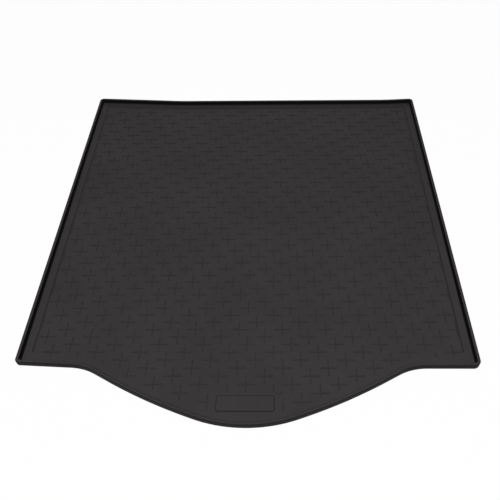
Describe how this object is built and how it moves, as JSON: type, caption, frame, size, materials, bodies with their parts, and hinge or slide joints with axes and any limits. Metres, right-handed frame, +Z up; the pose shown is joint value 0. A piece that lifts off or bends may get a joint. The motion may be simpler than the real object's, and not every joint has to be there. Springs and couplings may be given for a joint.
{
  "type": "car boot liner",
  "caption": "Moulded rubber boot liner: a thin floor with a low lip all round, straight at the seats and bulging at the tailgate, with a bead and a cross tread.",
  "frame": {"origin": "middle of the liner's plan, on its underside", "axes": "+X to the right, +Y towards the seats where the edge is straight, -Y towards the tailgate where it bulges, +Z up"},
  "size_m": [1.0338, 1.1412, 0.014],
  "materials": {
    "rubber": "matt, finely grained"
  },
  "bodies": {
    "root": {"boot_liner": "rubber"}
  },
  "joints": []
}
